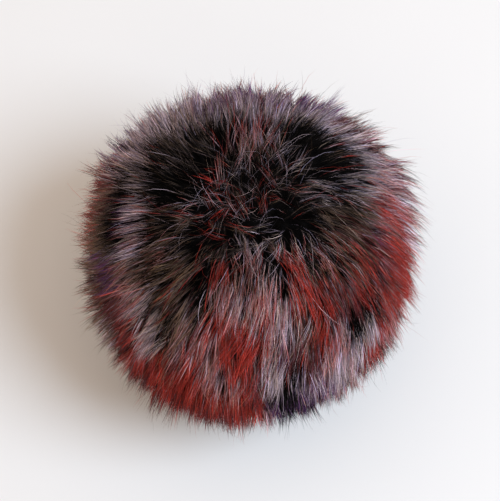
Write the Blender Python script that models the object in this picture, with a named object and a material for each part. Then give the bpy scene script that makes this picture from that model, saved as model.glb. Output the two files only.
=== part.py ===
"""A faux fur pom pom that stands on a small flat spot.

The packed pile is a slightly flattened ball. Its surface is laid out as triangles of even size, and a
three-sided lock of fur grows out of each one. The nap turns round a whorl at the crown and runs down the
sides. Below the widest part the locks spread outwards and grow shorter, and the lowest lie level on the
floor. A short table of swells says where the ball stands fuller, or falls in between two tufts.

Metres, +Z up. The origin is on the floor, under the middle of the ball's outline.
"""

import math
import random
from collections import namedtuple

import bmesh
import bpy
from mathutils import Matrix, Vector

# The packed pile
PILE_RADIUS = 0.0457
PILE_HALF_HEIGHT = 0.0485
SPOT_RADIUS = 0.016
SPOT_CORNERS = 8
SPIRAL_POINTS = 144
LOWEST_SPIRAL = math.radians(-57)  # the spiral of corners runs from the crown down to this height angle
CENTRE_HEIGHT = PILE_HALF_HEIGHT * math.sqrt(1 - (SPOT_RADIUS / PILE_RADIUS) ** 2)

# The locks of fur
LOCK_LENGTH = 0.0150
LENGTH_SPREAD = 0.14  # a lock is this share longer or shorter than the next
ROOT_INSET = 0.0005  # strip of pile that shows between two roots
ROOT_LEAN = math.radians(20)  # away from the surface's own direction, in the full nap
TIP_LEAN = math.radians(72)
LEAN_SPREAD = math.radians(7)
WHORL_TURN = math.radians(80)  # the nap turns sideways by this much at the crown
WHORL_REACH = math.radians(50)
SPLAY_HEIGHT = 0.032  # from here down to the floor the locks spread and shorten
SPLAY_DROOP = 0.30  # fall of a spread lock, as a share of how far it runs, until it meets the floor
FLOOR_SHARE = 0.60  # length of a lock at the floor, as a share of a whole one
FOLLOW_SHARE = 0.45  # how far a lock's section turns to face the way it grows
SEED = 7

Ring = namedtuple("Ring", "along width")
LOCK_RINGS = (
    Ring(along=0.24, width=0.88),
    Ring(along=0.50, width=0.66),
    Ring(along=0.76, width=0.38),
)

# How strongly the locks lean along the nap, by the angle from the crown in degrees
Nap = namedtuple("Nap", "from_crown share")
NAP = (
    Nap(from_crown=0, share=0.60),
    Nap(from_crown=35, share=0.95),
    Nap(from_crown=65, share=0.75),
    Nap(from_crown=95, share=0.35),
    Nap(from_crown=125, share=0.00),
    Nap(from_crown=180, share=0.00),
)

# Where the ball is fuller or falls in: bearing from +X, height angle, reach, and rise of the pile
Swell = namedtuple("Swell", "bearing height reach rise")
SWELLS = (
    Swell(bearing=90, height=90, reach=30, rise=-0.0024),
    Swell(bearing=138, height=17, reach=42, rise=0.0022),
    Swell(bearing=2, height=6, reach=34, rise=0.0020),
    Swell(bearing=318, height=-12, reach=30, rise=-0.0028),
    Swell(bearing=222, height=-14, reach=30, rise=-0.0014),
    Swell(bearing=277, height=-20, reach=18, rise=-0.0040),
    Swell(bearing=252, height=-22, reach=22, rise=0.0016),
    Swell(bearing=300, height=-22, reach=18, rise=0.0014),
    Swell(bearing=60, height=35, reach=24, rise=0.0010),
)

FUR_COLOUR = (0.125, 0.045, 0.042, 1.0)
FUR_ROUGHNESS = 0.8


def clear_scene():
    for thing in list(bpy.data.objects):
        bpy.data.objects.remove(thing, do_unlink=True)


def fur_material():
    material = bpy.data.materials.new("fur")
    material.use_nodes = True
    shader = material.node_tree.nodes["Principled BSDF"]
    shader.inputs["Base Color"].default_value = FUR_COLOUR
    shader.inputs["Roughness"].default_value = FUR_ROUGHNESS
    shader.inputs["Metallic"].default_value = 0.0
    return material


def smooth(share):
    share = min(max(share, 0.0), 1.0)
    return share * share * (3 - 2 * share)


def direction(bearing, height):
    level = math.cos(height)
    return Vector((level * math.cos(bearing), level * math.sin(bearing), math.sin(height)))


def corner_directions():
    """Evenly spread directions from the ball's centre: a spiral, then the flat spot's corners."""
    golden_turn = math.pi * (3 - math.sqrt(5))
    lowest = math.sin(LOWEST_SPIRAL)
    ways = []
    for index in range(SPIRAL_POINTS):
        level = 1 - (1 - lowest) * (index + 0.5) / SPIRAL_POINTS
        ways.append(direction(index * golden_turn, math.asin(level)))
    spot_height = -math.asin(CENTRE_HEIGHT / PILE_HALF_HEIGHT)
    for index in range(SPOT_CORNERS):
        ways.append(direction(math.tau * index / SPOT_CORNERS, spot_height))
    return ways


def swell_at(way):
    """How far the pile stands out of the plain ball, in this direction."""
    rise = 0.0
    for swell in SWELLS:
        middle = direction(math.radians(swell.bearing), math.radians(swell.height))
        apart = way.angle(middle) / math.radians(swell.reach)
        rise += swell.rise * smooth(1 - apart)
    return rise


def pile_place(way):
    place = Vector((way.x * PILE_RADIUS, way.y * PILE_RADIUS, way.z * PILE_HALF_HEIGHT + CENTRE_HEIGHT))
    return place + way * swell_at(way) * smooth(place.z / SPOT_RADIUS)


def add_packed_pile(bm):
    """The ball of triangles, closed below by one flat face. Returns the triangles."""
    corners = [bm.verts.new(way) for way in corner_directions()]
    bmesh.ops.convex_hull(bm, input=corners)
    spot_level = -CENTRE_HEIGHT / PILE_HALF_HEIGHT + 1e-5
    spot_faces = [face for face in bm.faces if all(corner.co.z < spot_level for corner in face.verts)]
    spot = bmesh.ops.dissolve_faces(bm, faces=spot_faces)["region"][0]
    for corner in bm.verts:
        corner.co = pile_place(corner.co.normalized())
    bmesh.ops.recalc_face_normals(bm, faces=bm.faces)
    return [face for face in bm.faces if face != spot]


def nap_direction(outward):
    """Along the surface, away from the crown, and turned sideways near the whorl."""
    upward = Vector((0, 0, 1))
    from_crown = outward.angle(upward)
    downhill = (upward.cross(outward)).cross(outward)
    turn = WHORL_TURN * smooth(1 - from_crown / WHORL_REACH)
    return Matrix.Rotation(turn, 3, outward) @ downhill.normalized()


def nap_share(outward):
    """How strongly the locks lean here, read off the table."""
    from_crown = math.degrees(outward.angle(Vector((0, 0, 1))))
    for above, below in zip(NAP, NAP[1:]):
        if from_crown <= below.from_crown:
            part = (from_crown - above.from_crown) / (below.from_crown - above.from_crown)
            return above.share + (below.share - above.share) * part
    return NAP[-1].share


def growing_way(outward, lean, near_floor):
    """Which way a lock grows: leaning along the nap, or outwards and slightly down near the floor."""
    leaning = outward * math.cos(lean) + nap_direction(outward) * math.sin(lean)
    spread = Vector((outward.x, outward.y, 0)).normalized() - Vector((0, 0, SPLAY_DROOP))
    return leaning.lerp(spread.normalized(), near_floor).normalized()


def grow_lock(bm, face, chance):
    """Draw a three-sided lock out of the face, bending it along the nap and tapering it to a point."""
    root = face.calc_center_median()
    outward = face.normal.copy()
    near_floor = smooth(1 - root.z / SPLAY_HEIGHT)
    length = LOCK_LENGTH * (1 + chance.uniform(-LENGTH_SPREAD, LENGTH_SPREAD))
    length *= 1 - (1 - FLOOR_SHARE) * near_floor
    own_lean = chance.uniform(-LEAN_SPREAD, LEAN_SPREAD)
    offsets = [corner.co - root for corner in face.verts]
    centre = root.copy()
    reached = 0.0
    for ring in LOCK_RINGS + (Ring(along=1.0, width=0.0),):
        lean = (ROOT_LEAN + (TIP_LEAN - ROOT_LEAN) * ring.along) * nap_share(outward) + own_lean
        way = growing_way(outward, lean, near_floor)
        centre += way * length * (ring.along - reached)
        reached = ring.along
        if ring.width == 0:
            tip = bmesh.ops.poke(bm, faces=[face])["verts"][0]
            tip.co = (centre.x, centre.y, max(centre.z, 0.0))
            return
        face = bmesh.ops.extrude_discrete_faces(bm, faces=[face])["faces"][0]
        follow = outward.rotation_difference(way)
        turn = Matrix.Identity(3).to_quaternion().slerp(follow, FOLLOW_SHARE * (1 - near_floor))
        places = [centre + turn @ offset * ring.width for offset in offsets]
        lift = Vector((0, 0, max(0.0, -min(place.z for place in places))))
        centre += lift
        for corner, place in zip(face.verts, places, strict=True):
            corner.co = place + lift


def centre_on_origin(bm):
    """Move the ball so that the middle of its outline, seen from above, is over the origin."""
    for axis in (0, 1):
        spread = [corner.co[axis] for corner in bm.verts]
        shift = Vector((0, 0, 0))
        shift[axis] = -(min(spread) + max(spread)) / 2
        bmesh.ops.translate(bm, verts=bm.verts, vec=shift)


def build_fur_ball(collection, material):
    chance = random.Random(SEED)
    bm = bmesh.new()
    triangles = add_packed_pile(bm)
    bmesh.ops.inset_individual(bm, faces=triangles, thickness=ROOT_INSET, use_even_offset=True)
    for triangle in triangles:
        grow_lock(bm, triangle, chance)
    centre_on_origin(bm)
    mesh = bpy.data.meshes.new("fur_ball")
    bm.to_mesh(mesh)
    bm.free()
    mesh.materials.append(material)
    ball = bpy.data.objects.new("fur_ball", mesh)
    collection.objects.link(ball)
    return ball


def main():
    clear_scene()
    collection = bpy.data.collections.new("pom_pom")
    bpy.context.scene.collection.children.link(collection)
    build_fur_ball(collection, fur_material())


main()
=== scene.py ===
"""Dresses the solid of a pom pom in dyed long-pile faux fur.

A stuffed core carries an underfur and several coats of long strands. Every strand is a thin spike
with three sides, closed at its tip and open at its root. Strands grow along the nap, which runs from
the crown down the sides, and are drawn together into tufts and locks. Each strand has a dark root, a
paler middle and a dyed tip, and a table of dye patches says which recipe the strands of each place follow.
"""

import math
from collections import namedtuple

import bpy
import numpy as np
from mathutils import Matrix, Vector, kdtree


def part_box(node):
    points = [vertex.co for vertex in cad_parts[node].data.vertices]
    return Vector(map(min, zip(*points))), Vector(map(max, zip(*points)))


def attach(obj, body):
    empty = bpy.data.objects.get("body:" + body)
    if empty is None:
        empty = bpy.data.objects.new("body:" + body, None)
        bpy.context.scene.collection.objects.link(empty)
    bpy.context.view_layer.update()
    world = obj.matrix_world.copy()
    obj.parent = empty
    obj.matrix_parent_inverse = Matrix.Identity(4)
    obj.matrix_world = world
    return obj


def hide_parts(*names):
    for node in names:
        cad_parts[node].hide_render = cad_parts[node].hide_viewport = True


bl_info = {
    "name": "Faux fur pom pom",
    "version": (1, 0, 0),
    "blender": (4, 5, 0),
    "location": "3D View > Sidebar > Pom pom",
    "description": "Builds the stuffed core, the dyed fur and the stage of a pom pom",
    "category": "Mesh",
}

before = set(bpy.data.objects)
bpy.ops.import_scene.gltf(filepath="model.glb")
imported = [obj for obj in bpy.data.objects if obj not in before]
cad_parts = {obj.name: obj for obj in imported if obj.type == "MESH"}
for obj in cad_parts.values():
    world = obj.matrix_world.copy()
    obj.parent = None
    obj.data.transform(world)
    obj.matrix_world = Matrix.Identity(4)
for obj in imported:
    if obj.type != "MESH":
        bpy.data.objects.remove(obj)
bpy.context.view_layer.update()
SOLID_LOW, SOLID_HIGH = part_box("fur_ball")
HALF_WIDTH = (SOLID_HIGH.x - SOLID_LOW.x) / 2
HEIGHT = SOLID_HIGH.z - SOLID_LOW.z

MM = 0.001
UP = np.array((0.0, 0.0, 1.0))
GOLDEN_TURN = math.pi * (3 - math.sqrt(5))

# How the strands lie, by the angle from the crown: lean from the skin's own direction at the root and at
# the tip in degrees, length in millimetres, and the share by which the tips of a tuft draw together
Nap = namedtuple("Nap", "from_crown root_lean tip_lean length gather")
NAP = (
    Nap(from_crown=0, root_lean=18, tip_lean=62, length=14.0, gather=-0.5),
    Nap(from_crown=25, root_lean=30, tip_lean=82, length=16.5, gather=0.3),
    Nap(from_crown=50, root_lean=34, tip_lean=90, length=18.5, gather=0.5),
    Nap(from_crown=75, root_lean=30, tip_lean=78, length=17.0, gather=0.42),
    Nap(from_crown=100, root_lean=26, tip_lean=66, length=14.5, gather=0.28),
    Nap(from_crown=125, root_lean=16, tip_lean=50, length=12.5, gather=0.25),
    Nap(from_crown=180, root_lean=5, tip_lean=20, length=11.0, gather=0.25),
)
PATH_STEPS = 14
FRONT_LEAN = math.radians(6)  # the pile lies this much flatter in front, and stands up as much behind

# Where the nap is combed aside: bearing and height of the middle and reach in degrees, and the turn in
# degrees, against the clock as seen from above
Sweep = namedtuple("Sweep", "bearing height reach turn")
SWEEPS = (
    Sweep(bearing=0, height=42, reach=62, turn=-34),
    Sweep(bearing=322, height=14, reach=40, turn=-12),
    Sweep(bearing=298, height=40, reach=44, turn=-28),
    Sweep(bearing=48, height=28, reach=45, turn=-14),
    Sweep(bearing=128, height=34, reach=45, turn=-16),
    Sweep(bearing=180, height=4, reach=34, turn=-42),
)

# Where the ball is fuller or falls in: bearing from +X, height angle and reach in degrees, rise in
# millimetres
Swell = namedtuple("Swell", "bearing height reach rise")
SWELLS = (
    Swell(bearing=90, height=90, reach=30, rise=-2.4),
    Swell(bearing=143, height=18, reach=48, rise=4.8),
    Swell(bearing=200, height=0, reach=40, rise=2.1),
    Swell(bearing=234, height=-5, reach=40, rise=2.6),
    Swell(bearing=270, height=10, reach=60, rise=3.0),
    Swell(bearing=28, height=22, reach=24, rise=3.0),
    Swell(bearing=355, height=5, reach=30, rise=-2.1),
    Swell(bearing=277, height=-20, reach=16, rise=-4.5),
    Swell(bearing=252, height=-22, reach=22, rise=1.6),
    Swell(bearing=302, height=-20, reach=20, rise=-1.8),
    Swell(bearing=66, height=28, reach=22, rise=1.6),
    Swell(bearing=42, height=28, reach=30, rise=1.6),
    Swell(bearing=94, height=32, reach=36, rise=2.0),
)

# The dyes, in the order of the tip ramp's steps
DYES = ("rust", "pink", "maroon", "plum", "brown", "ash", "pale", "black")

# What a strand looks like: the dye of its tip, how pale its middle is, and the shares of its length where
# the dark root ends and the dyed tip starts
Recipe = namedtuple("Recipe", "dye middle root_end tip_start")
RECIPES = {
    "rust": Recipe(dye="rust", middle=0.62, root_end=0.20, tip_start=0.42),
    "deep_rust": Recipe(dye="rust", middle=0.30, root_end=0.12, tip_start=0.26),
    "ember": Recipe(dye="rust", middle=0.10, root_end=0.30, tip_start=0.40),
    "blush": Recipe(dye="rust", middle=0.84, root_end=0.22, tip_start=0.47),
    "dawn": Recipe(dye="pink", middle=0.78, root_end=0.44, tip_start=0.60),
    "rose": Recipe(dye="pink", middle=0.86, root_end=0.22, tip_start=0.52),
    "maroon": Recipe(dye="maroon", middle=0.50, root_end=0.20, tip_start=0.42),
    "claret": Recipe(dye="maroon", middle=0.10, root_end=0.22, tip_start=0.34),
    "plum": Recipe(dye="plum", middle=0.55, root_end=0.20, tip_start=0.44),
    "lilac": Recipe(dye="plum", middle=0.92, root_end=0.34, tip_start=0.76),
    "ash": Recipe(dye="ash", middle=0.66, root_end=0.42, tip_start=0.74),
    "frost": Recipe(dye="pale", middle=1.00, root_end=0.12, tip_start=0.80),
    "brown": Recipe(dye="brown", middle=0.42, root_end=0.25, tip_start=0.50),
    "umber": Recipe(dye="brown", middle=0.24, root_end=0.45, tip_start=0.72),
    "smoke": Recipe(dye="black", middle=0.34, root_end=0.42, tip_start=0.78),
    "dusk": Recipe(dye="black", middle=0.45, root_end=0.10, tip_start=0.42),
    "black": Recipe(dye="black", middle=0.06, root_end=0.80, tip_start=0.85),
}
BASE_RECIPES = ("rust", "rose", "umber", "smoke", "black")
BASE_STRENGTH = 0.45

# Where each recipe is used. The columns are the recipe, the bearing from +X and the height angle of the
# patch's middle, its reach along the nap and across it in degrees, and its strength. Where patches
# overlap, a strand takes one of them by chance, the stronger the more often
Patch = namedtuple("Patch", "recipe bearing height along across strength")
PATCH_EDGE = 1.35  # share of its reach at which a patch ends
PATCHES = (
    # crown
    Patch("black", 300, 86, 16, 16, 4.5),
    Patch("umber", 270, 82, 18, 18, 1.0),
    Patch("black", 322, 71, 10, 11, 12),
    Patch("deep_rust", 168, 75, 6, 4, 4),
    Patch("ash", 198, 74, 7, 8, 1.4),
    Patch("black", 203, 65, 7, 9, 1.4),
    Patch("deep_rust", 219, 71, 7, 3, 3.4),
    Patch("rust", 252, 82, 4, 3, 5),
    Patch("rust", 325, 83, 4, 4, 4),
    Patch("frost", 275, 68, 6, 4, 5),
    Patch("ash", 273, 71, 7, 6, 7),
    Patch("ash", 168, 83, 6, 12, 1.6),
    Patch("rose", 266, 60, 7, 5, 4),
    Patch("frost", 301, 57, 6, 4, 1.5),
    # left of the crown, towards the back
    Patch("black", 137, 59, 9, 10, 7),
    Patch("smoke", 138, 58, 9, 10, 6),
    Patch("umber", 141, 52, 7, 9, 3),
    Patch("black", 155, 54, 9, 11, 9),
    Patch("smoke", 156, 53, 9, 9, 4),
    Patch("black", 165, 61, 8, 9, 7),
    Patch("smoke", 147, 56, 9, 9, 7),
    Patch("black", 160, 47, 6, 8, 6),
    Patch("smoke", 162, 42, 5, 8, 5),
    Patch("black", 166, 49, 7, 7, 4),
    Patch("black", 124, 49, 5, 7, 8),
    Patch("black", 115, 52, 6, 9, 10),
    Patch("smoke", 105, 53, 6, 9, 5),
    Patch("black", 113, 63, 6, 7, 4),
    Patch("black", 139, 46, 5, 5, 4),
    Patch("umber", 130, 50, 5, 12, 3),
    Patch("umber", 128, 44, 6, 10, 1.6),
    Patch("smoke", 158, 50, 6, 8, 2.4),
    # pale band, left and behind
    Patch("lilac", 147, 27, 7, 8, 9),
    Patch("plum", 141, 13, 6, 9, 28),
    Patch("ash", 143, 31, 6, 12, 5),
    Patch("black", 140, 39, 4, 7, 5),
    Patch("ash", 132, 32, 6, 12, 7),
    Patch("smoke", 134, 37, 5, 9, 8),
    Patch("ash", 123, 43, 7, 12, 8),
    Patch("ash", 112, 45, 7, 12, 4),
    Patch("ash", 100, 49, 7, 14, 3),
    Patch("lilac", 96, 43, 7, 14, 3),
    Patch("ash", 78, 48, 7, 9, 5),
    Patch("lilac", 83, 46, 6, 8, 3),
    # behind the crown
    Patch("deep_rust", 84, 56, 6, 4, 1),
    Patch("lilac", 80, 58, 6, 6, 3),
    Patch("rose", 97, 59, 7, 6, 3),
    Patch("maroon", 104, 64, 6, 5, 3),
    Patch("maroon", 83, 62, 6, 5, 3),
    Patch("umber", 91, 68, 6, 7, 2.4),
    Patch("black", 70, 76, 6, 6, 3),
    Patch("ash", 40, 68, 6, 8, 2),
    Patch("smoke", 67, 52, 8, 6, 7),
    # right of the crown, towards the back
    Patch("black", 57, 49, 6, 7, 11),
    Patch("black", 57, 54, 7, 8, 12),
    Patch("black", 44, 48, 8, 9, 20),
    Patch("black", 34, 47, 8, 9, 20),
    Patch("black", 34, 57, 9, 10, 14),
    Patch("black", 19, 51, 8, 9, 12),
    Patch("black", 25, 45, 7, 8, 13),
    Patch("smoke", 16, 46, 6, 8, 6),
    Patch("black", 350, 71, 7, 7, 2.4),
    Patch("smoke", 345, 66, 6, 7, 3),
    Patch("black", 8, 57, 6, 6, 2),
    Patch("ash", 2, 60, 7, 7, 2),
    # pale band, right
    Patch("ash", 57, 36, 6, 9, 6),
    Patch("lilac", 67, 36, 6, 9, 4),
    Patch("ash", 48, 40, 7, 10, 12),
    Patch("frost", 42, 33, 6, 8, 3),
    Patch("frost", 34, 29, 6, 8, 3),
    Patch("ash", 36, 32, 6, 10, 5),
    Patch("ash", 24, 38, 7, 9, 4),
    Patch("black", 18, 44, 6, 6, 7),
    Patch("ash", 9, 47, 7, 7, 5),
    Patch("frost", 11, 38, 5, 5, 3),
    Patch("maroon", 6, 34, 5, 6, 4),
    Patch("frost", 21, 26, 6, 8, 1.6),
    Patch("rose", 8, 27, 7, 8, 3),
    # back rim
    Patch("lilac", 140, 14, 8, 10, 7),
    Patch("frost", 142, 23, 7, 8, 30),
    Patch("lilac", 131, 20, 8, 10, 6),
    Patch("frost", 128, 30, 7, 10, 8),
    Patch("frost", 117, 31, 6, 8, 6),
    Patch("lilac", 121, 24, 8, 9, 7),
    Patch("lilac", 104, 30, 8, 10, 8),
    Patch("plum", 113, 33, 6, 9, 2),
    Patch("lilac", 112, 31, 7, 10, 8),
    Patch("plum", 107, 37, 6, 9, 6),
    Patch("plum", 96, 35, 7, 10, 5),
    Patch("plum", 63, 24, 6, 9, 7),
    Patch("plum", 82, 40, 6, 7, 4),
    Patch("lilac", 74, 34, 6, 9, 3.4),
    Patch("plum", 61, 25, 7, 9, 12),
    Patch("frost", 55, 33, 6, 8, 9),
    Patch("maroon", 52, 23, 5, 7, 3),
    Patch("maroon", 46, 26, 5, 8, 6),
    Patch("maroon", 33, 24, 5, 8, 4),
    Patch("rose", 28, 23, 5, 6, 2),
    Patch("maroon", 22, 20, 5, 7, 1.6),
    Patch("rose", 14, 31, 5, 7, 5),
    Patch("ash", 19, 32, 6, 7, 3),
    Patch("rose", 7, 21, 6, 7, 9),
    Patch("frost", 8, 20, 6, 6, 8),
    # left side
    Patch("black", 157, 27, 4, 5, 16),
    Patch("ash", 160, 36, 5, 7, 12),
    Patch("black", 166, 30, 4.5, 6, 20),
    Patch("black", 174, 30, 4.5, 6, 20),
    Patch("black", 182, 29, 4, 6, 16),
    Patch("black", 188, 27, 4, 5, 6),
    Patch("umber", 184, 23, 5, 8, 6),
    Patch("maroon", 156, 15, 8, 9, 2),
    Patch("lilac", 152, 33, 6, 5, 6),
    Patch("frost", 152, 22, 6, 6, 10),
    Patch("rose", 150, 23, 6, 7, 2),
    Patch("maroon", 166, 22, 5, 8, 3),
    Patch("brown", 168, 18, 7, 8, 2.4),
    Patch("rust", 172, 10, 8, 9, 2.2),
    Patch("brown", 179, 14, 9, 11, 4),
    Patch("brown", 190, 10, 9, 9, 4),
    Patch("lilac", 180, 39, 4, 7, 8),
    Patch("lilac", 189, 38, 5, 7, 12),
    Patch("rose", 194, 37, 6, 6, 6),
    Patch("ash", 168, 42, 4, 6, 3),
    Patch("black", 177, 53, 7, 8, 4),
    Patch("black", 197, 48, 7, 5, 6),
    Patch("black", 201, 42, 5, 5, 2),
    Patch("black", 197, 51, 9, 7, 5),
    Patch("ash", 196, 57, 8, 5, 2.4),
    Patch("umber", 204, 53, 11, 11, 4),
    Patch("umber", 224, 47, 8, 6, 8),
    Patch("brown", 223, 46, 6, 5, 5),
    Patch("black", 222, 58, 9, 7, 3),
    Patch("black", 238, 62, 8, 7, 5),
    Patch("smoke", 250, 60, 8, 6, 3),
    Patch("plum", 197, 16, 5, 9, 4),
    Patch("maroon", 199, 13, 5, 10, 5),
    Patch("maroon", 206, 11, 5, 7, 5),
    Patch("brown", 207, -1, 7, 7, 7),
    Patch("frost", 207, -5, 6, 5, 3),
    Patch("ash", 199, 31, 7, 7, 3),
    Patch("lilac", 197, 34, 6, 7, 3),
    Patch("rose", 206, 27, 6, 7, 3),
    Patch("rose", 214, 20, 6, 7, 9),
    Patch("rust", 212, 17, 5, 6, 4),
    # right side
    Patch("rust", 4, 31, 5, 6, 7),
    Patch("rose", 10, 33, 5, 6, 3),
    Patch("rust", 1, 30, 5, 6, 16),
    Patch("rust", 355, 25, 7, 9, 12),
    Patch("rust", 345, 19, 7, 9, 7),
    Patch("rust", 336, 18, 7, 9, 9),
    Patch("rust", 341, 6, 9, 9, 20),
    Patch("deep_rust", 343, 11, 6, 5, 16),
    Patch("frost", 357, 14, 5, 5, 5),
    Patch("rose", 358, 30, 6, 6, 6),
    Patch("umber", 354, 45, 7, 7, 8),
    Patch("black", 356, 51, 6, 6, 5),
    Patch("plum", 345, 36, 4, 4, 2),
    Patch("maroon", 343, 36, 5, 5, 4),
    Patch("umber", 343, 56, 7, 6, 4),
    Patch("black", 346, 48, 6, 5, 9),
    Patch("umber", 344, 45, 7, 6, 12),
    Patch("claret", 341, 46, 7, 5, 5),
    Patch("umber", 340, 44, 7, 6, 5),
    Patch("ember", 334, 36, 7, 7, 12),
    Patch("claret", 336, 30, 6, 5, 8),
    Patch("black", 337, 40, 5, 5, 3),
    Patch("claret", 338, 39, 7, 7, 9),
    Patch("umber", 337, 38, 6, 6, 9),
    Patch("umber", 331, 41, 6, 8, 3),
    Patch("umber", 336, 57, 9, 7, 2),
    Patch("black", 328, 62, 8, 6, 6),
    Patch("umber", 326, 59, 6, 6, 3),
    Patch("black", 338, 38, 4, 4, 4),
    Patch("umber", 323, 41, 6, 6, 3),
    Patch("smoke", 328, 31, 6, 6, 2.4),
    Patch("claret", 332, 27, 5, 5, 4),
    Patch("rose", 336, 29, 5, 5, 1.6),
    Patch("rust", 321, 31, 6, 3.5, 9),
    Patch("rust", 318, 32, 5, 3.5, 3),
    Patch("rust", 328, 14, 6, 7, 13),
    Patch("rust", 317, 3, 6, 8, 8),
    Patch("rose", 329, -1, 6, 7, 14),
    # front, above
    Patch("rose", 285, 47, 8, 4, 7),
    Patch("frost", 279, 58, 6, 4, 2),
    Patch("black", 280, 56, 5, 4, 16),
    Patch("black", 268, 56, 5, 3, 4),
    Patch("black", 264, 49, 6, 3, 1.6),
    Patch("umber", 261, 52, 8, 5, 3),
    Patch("black", 286, 51, 6, 4, 34),
    Patch("rust", 295, 51, 7, 4, 12),
    Patch("rust", 297, 55, 7, 4, 10),
    Patch("black", 298, 55, 5, 2.5, 5),
    Patch("umber", 306, 48, 6, 5, 4),
    Patch("black", 308, 48, 7, 3, 9),
    Patch("rose", 312, 47, 7, 5, 1.6),
    Patch("maroon", 311, 34, 6, 5, 6),
    Patch("ember", 316, 40, 7, 3, 5),
    Patch("rust", 304, 42, 8, 5, 12),
    Patch("umber", 314, 37, 8, 3, 3),
    Patch("umber", 294, 45, 9, 2.5, 1.6),
    Patch("rust", 291, 45, 8, 5, 10),
    Patch("rose", 290, 40, 8, 4, 5),
    # front, left: dark streaks and pale tufts
    Patch("umber", 210, 32, 8, 7, 6),
    Patch("black", 208, 34, 4, 3, 4),
    Patch("black", 215, 38, 7, 5, 8),
    Patch("brown", 205, 36, 9, 6, 2.4),
    Patch("rose", 212, 41, 9, 4, 2),
    Patch("black", 219, 50, 8, 4, 5),
    Patch("umber", 213, 32, 7, 5, 4),
    Patch("frost", 216, 20, 6, 5, 18),
    Patch("rose", 213, 27, 6, 5, 4),
    Patch("frost", 227, 20, 7, 3, 6),
    Patch("frost", 228, 16, 7, 4, 20),
    Patch("rose", 230, 13, 6, 5, 4),
    Patch("black", 225, 31, 7, 3.5, 12),
    Patch("dusk", 221, 22, 5, 3.5, 24),
    Patch("brown", 220, 35, 8, 5, 5),
    Patch("deep_rust", 229, 33, 7, 2.5, 2),
    Patch("black", 232, 24, 8, 3.5, 10),
    Patch("black", 232, 20, 5, 3.5, 5),
    Patch("black", 241, 41, 9, 5, 11),
    Patch("black", 242, 48, 8, 5, 8),
    Patch("umber", 236, 53, 9, 7, 5),
    Patch("maroon", 237, 40, 6, 4, 4),
    Patch("smoke", 234, 36, 9, 5, 9),
    Patch("brown", 232, 35, 8, 5, 12),
    Patch("brown", 241, 31, 9, 5, 5),
    Patch("umber", 237, 25, 8, 4, 1.6),
    Patch("rose", 242, 23, 9, 4, 4),
    Patch("rust", 233, 47, 10, 2.5, 1.8),
    Patch("rust", 223, 44, 8, 2.5, 1),
    Patch("umber", 241, 14, 7, 5, 3),
    Patch("maroon", 243, 16, 8, 4, 3),
    # lower left rim
    Patch("maroon", 214, 9, 6, 8, 10),
    Patch("maroon", 219, 3, 6, 8, 4),
    Patch("rust", 220, 9, 6, 7, 5),
    Patch("ember", 226, 3, 7, 8, 9),
    Patch("claret", 233, -6, 8, 8, 9),
    Patch("ember", 236, 0, 7, 8, 7),
    Patch("ember", 239, 9, 6, 6, 6),
    Patch("rust", 239, 0, 6, 7, 4),
    # front, bottom
    Patch("rust", 248, 11, 6, 6, 6),
    Patch("deep_rust", 249, 4, 7, 9, 13),
    Patch("ember", 246, -2, 6, 8, 12),
    Patch("ember", 256, 0, 8, 11, 13),
    Patch("ember", 250, -2, 8, 10, 8),
    Patch("claret", 256, -7, 7, 10, 26),
    Patch("ember", 258, -8, 7, 11, 12),
    Patch("claret", 251, -13, 9, 12, 22),
    Patch("ember", 265, 0, 7, 8, 9),
    Patch("deep_rust", 270, -4, 6, 6, 8),
    # front, middle
    Patch("maroon", 246, 30, 8, 4, 3),
    Patch("rust", 247, 18, 9, 4, 5),
    Patch("rose", 248, 27, 9, 4, 1.4),
    Patch("rose", 254, 23, 9, 4, 20),
    Patch("rose", 255, 14, 8, 5, 13),
    Patch("rose", 258, 7, 7, 6, 12),
    Patch("rose", 252, 16, 8, 4, 3),
    Patch("maroon", 259, 18, 8, 3, 3),
    Patch("rose", 262, 6, 7, 5, 8),
    Patch("blush", 259, 31, 6, 7, 10),
    Patch("deep_rust", 260, 30, 7, 6, 24),
    Patch("deep_rust", 265, 28, 8, 5, 18),
    Patch("ember", 266, 22, 9, 4.5, 10),
    Patch("maroon", 270, 15, 9, 3.5, 10),
    Patch("rust", 267, 19, 9, 4, 9),
    Patch("rose", 259, 41, 6, 6, 26),
    Patch("frost", 261, 41, 5, 5, 8),
    Patch("black", 262, 50, 6, 4, 2),
    Patch("maroon", 260, 50, 6, 5, 3),
    Patch("black", 264, 51, 6, 4, 1.6),
    Patch("rose", 256, 45, 5, 5, 4),
    Patch("ember", 254, 53, 8, 5, 5),
    Patch("rust", 253, 32, 10, 5, 9),
    Patch("deep_rust", 254, 34, 6, 4, 20),
    Patch("brown", 248, 48, 8, 5, 2.4),
    Patch("umber", 247, 45, 8, 5, 1.4),
    Patch("rose", 250, 42, 8, 5, 2.4),
    Patch("rose", 280, 49, 8, 4, 6),
    Patch("rose", 264, 42, 6.5, 6, 16),
    Patch("rose", 265, 46, 6, 6, 8),
    Patch("frost", 266, 40, 5, 4, 12),
    Patch("frost", 280, 41, 7, 3, 5),
    Patch("rose", 282, 34, 7, 4, 12),
    Patch("frost", 282, 33, 6, 4, 22),
    Patch("rose", 280, 37, 7, 4, 4),
    Patch("rust", 277, 33, 8, 4, 2),
    Patch("deep_rust", 273, 38, 9, 4, 3),
    Patch("rose", 273, 37, 7, 3.5, 8),
    Patch("frost", 273, 37, 7, 3.5, 5),
    Patch("rose", 275, 31, 9, 4, 5),
    Patch("rust", 274, 30, 9, 3, 3),
    # bottom, right of the middle
    Patch("plum", 279, 24, 7, 3.5, 2),
    Patch("maroon", 278, 27, 6, 3, 4),
    Patch("frost", 276.5, 13, 8, 3.5, 50),
    Patch("maroon", 271, 8, 8, 3, 22),
    Patch("black", 283, 15, 9, 2.5, 14),
    Patch("maroon", 280, 21, 6, 3.5, 7),
    Patch("black", 281, 4, 6, 4.5, 14),
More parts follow.
